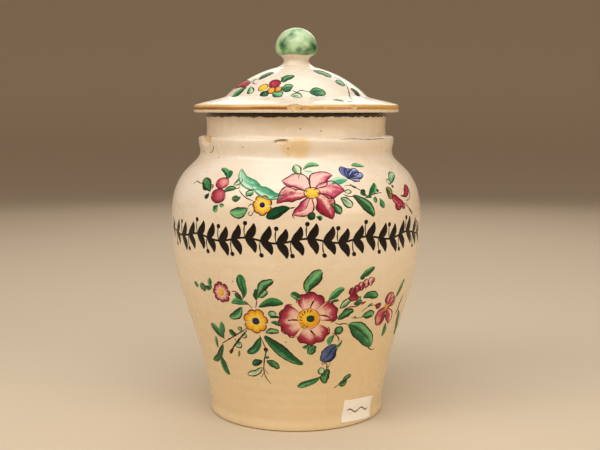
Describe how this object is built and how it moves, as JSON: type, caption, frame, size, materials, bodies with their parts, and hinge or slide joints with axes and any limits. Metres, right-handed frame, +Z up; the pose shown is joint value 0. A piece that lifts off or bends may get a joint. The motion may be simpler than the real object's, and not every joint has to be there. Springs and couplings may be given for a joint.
{
  "type": "apothecary jar",
  "caption": "Glazed earthenware apothecary jar with a swelling belly, raised collar and neck, and a loose domed lid with a ball knob that lifts off.",
  "frame": {"origin": "centre of the foot, on the surface that the jar stands on", "axes": "+Z up along the axis of revolution, -Y towards the painted front, +X to the right of someone facing the front"},
  "size_m": [0.162, 0.162, 0.2492],
  "materials": {
    "jar_glaze": "glossy cream tin glaze over buff earthenware, with overglaze flowers",
    "lid_glaze": "glossy cream tin glaze with an ochre line round the brim",
    "knob_glaze": "glossy pale green glaze sponged with darker green",
    "label_paper": "matt white self-adhesive paper"
  },
  "bodies": {
    "jar": {"jar_body": "jar_glaze", "paper_label": "label_paper"},
    "lid": {"lid_dome": "lid_glaze", "lid_flange": "lid_glaze", "lid_knob": "knob_glaze"}
  },
  "joints": [
    {"name": "lid_lift", "type": "slide", "parent": "jar", "child": "lid", "axis": [0, 0, 1], "range_m": [0, 0.1]}
  ]
}
